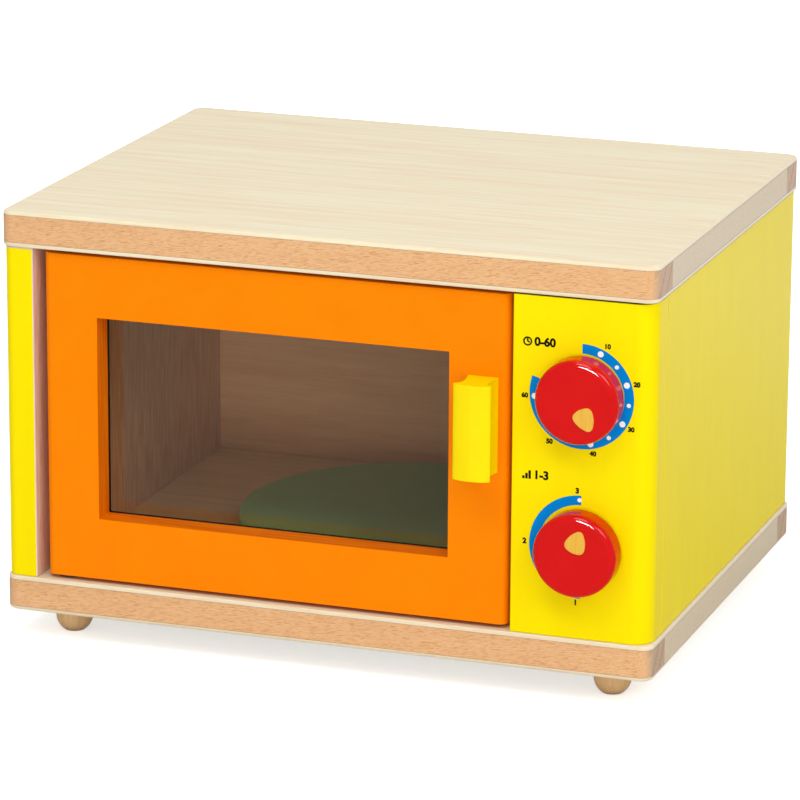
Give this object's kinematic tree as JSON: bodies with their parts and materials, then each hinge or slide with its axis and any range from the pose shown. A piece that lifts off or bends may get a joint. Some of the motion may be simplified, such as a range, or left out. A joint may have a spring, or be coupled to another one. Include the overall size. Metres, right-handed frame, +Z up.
{
  "type": "wooden toy microwave",
  "caption": "Wooden toy microwave with a hinged door and tinted window, two turning knobs, a turntable inside and turned feet.",
  "frame": {"origin": "on the surface it stands on, under the middle of the whole toy, handle included", "axes": "+Z up, +X to the right as seen from the front, -Y towards the front with the door and knobs"},
  "size_m": [0.34, 0.282, 0.2231],
  "materials": {
    "beech": "satin clear lacquer on solid beech, fine short flecks",
    "pale_veneer": "satin clear lacquer on pale veneer",
    "core_wood": "clear lacquer on the light board core",
    "yellow_lacquer": "smooth semi-gloss yellow lacquer on wood",
    "orange_lacquer": "smooth semi-gloss orange lacquer on wood",
    "red_lacquer": "glossy red lacquer on wood",
    "green_lacquer": "semi-gloss green lacquer on wood",
    "bare_board": "bare sanded board, matt",
    "foot_wood": "satin clear lacquer on turned beech",
    "pointer_wood": "satin light wood inlay",
    "tinted_acrylic": "glossy brown tinted acrylic sheet",
    "steel": "zinc plated steel",
    "nickel": "nickel plated magnet",
    "felt": "dense dark felt",
    "grey_nylon": "moulded nylon",
    "blue_print": "smooth screen print on the lacquer",
    "white_print": "smooth screen print on the lacquer",
    "black_print": "smooth screen print on the lacquer"
  },
  "bodies": {
    "box": {"back_panel": "bare_board", "bottom_board_core": "core_wood", "bottom_board_front_lipping": "beech", "bottom_board_lower_veneer": "pale_veneer", "bottom_board_rear_lipping": "beech", "bottom_board_upper_veneer": "pale_veneer", "catch_magnet": "nickel", "control_panel": "yellow_lacquer", "control_panel_lower_left_dowel": "beech", "control_panel_lower_right_dowel": "beech", "control_panel_upper_left_dowel": "beech", "control_panel_upper_right_dowel": "beech", "door_stop_strip": "beech", "front_left_foot": "foot_wood", "front_right_foot": "foot_wood", "left_panel_lower_front_dowel": "beech", "left_panel_lower_rear_dowel": "beech", "left_panel_upper_front_dowel": "beech", "left_panel_upper_rear_dowel": "beech", "left_side_panel": "yellow_lacquer", "lower_hinge_pin": "steel", "lower_hinge_washer": "steel", "power_knob_friction_washer": "felt", "rear_left_foot": "foot_wood", "rear_right_foot": "foot_wood", "right_panel_lower_front_dowel": "beech", "right_panel_lower_rear_dowel": "beech", "right_panel_upper_front_dowel": "beech", "right_panel_upper_rear_dowel": "beech", "right_side_panel": "yellow_lacquer", "timer_knob_friction_washer": "felt", "top_board_core": "core_wood", "top_board_front_lipping": "beech", "top_board_lower_veneer": "pale_veneer", "top_board_rear_lipping": "beech", "top_board_upper_veneer": "pale_veneer", "turntable_pin": "steel", "turntable_spacer": "grey_nylon", "upper_hinge_pin": "steel", "upper_hinge_washer": "steel"},
    "door": {"catch_strike_screw": "steel", "door_frame": "orange_lacquer", "door_handle": "yellow_lacquer", "door_window_pane": "tinted_acrylic", "handle_lower_screw": "steel", "handle_upper_screw": "steel", "window_pane_lower_left_screw": "steel", "window_pane_lower_right_screw": "steel", "window_pane_upper_left_screw": "steel", "window_pane_upper_right_screw": "steel"},
    "timer_knob": {"timer_knob": "red_lacquer", "timer_knob_pointer": "pointer_wood", "timer_knob_screw": "steel", "timer_knob_screw_washer": "steel"},
    "power_knob": {"power_knob": "red_lacquer", "power_knob_pointer": "pointer_wood", "power_knob_screw": "steel", "power_knob_screw_washer": "steel"},
    "turntable": {"turntable_disc": "green_lacquer"}
  },
  "joints": [
    {"name": "door_hinge", "type": "hinge", "parent": "box", "child": "door", "pos_m": [-0.13887, -0.112, 0.0337], "axis": [0, 0, -1], "range_deg": [0, 108]},
    {"name": "timer_knob_turn", "type": "hinge", "parent": "box", "child": "timer_knob", "pos_m": [0.1335, -0.1228, 0.1558], "axis": [0, -1, 0], "continuous": true},
    {"name": "power_knob_turn", "type": "hinge", "parent": "box", "child": "power_knob", "pos_m": [0.1335, -0.1228, 0.0791], "axis": [0, -1, 0], "continuous": true},
    {"name": "turntable_turn", "type": "hinge", "parent": "box", "child": "turntable", "pos_m": [0, 0.0141, 0.0374], "axis": [0, 0, 1], "continuous": true}
  ]
}
